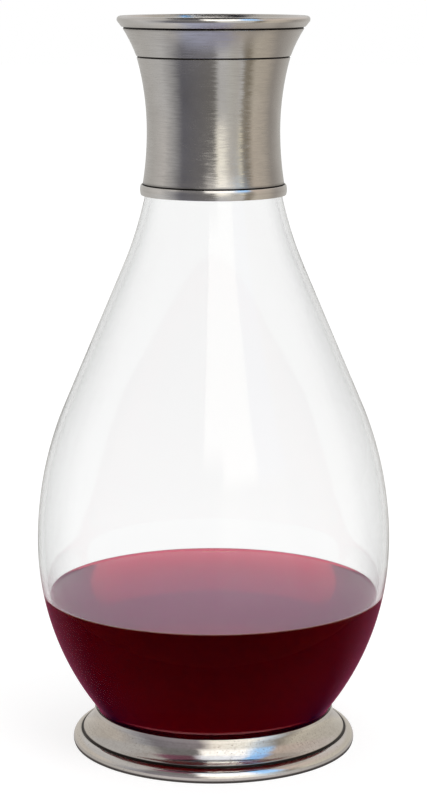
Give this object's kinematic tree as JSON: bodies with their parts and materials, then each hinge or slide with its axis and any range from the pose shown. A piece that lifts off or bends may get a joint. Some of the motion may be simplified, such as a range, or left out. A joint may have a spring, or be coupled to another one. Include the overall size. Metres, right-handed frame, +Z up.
{
  "type": "wine carafe",
  "caption": "Pear-shaped clear glass carafe with a waisted pewter collar and flared rim, standing in a low pewter foot and partly filled with red wine.",
  "frame": {"origin": "on the table, under the middle of the foot", "axes": "+Z up along the turning axis; the side that the picture shows faces -Y"},
  "size_m": [0.1284, 0.1284, 0.265],
  "materials": {
    "glass": "gloss",
    "wine": "gloss",
    "pewter": "satin",
    "bond": "matte"
  },
  "bodies": {
    "root": {"glass_body": "glass", "wine": "wine", "foot_ring": "pewter", "foot_bond": "bond", "neck_collar": "pewter", "neck_bond": "bond"}
  },
  "joints": []
}
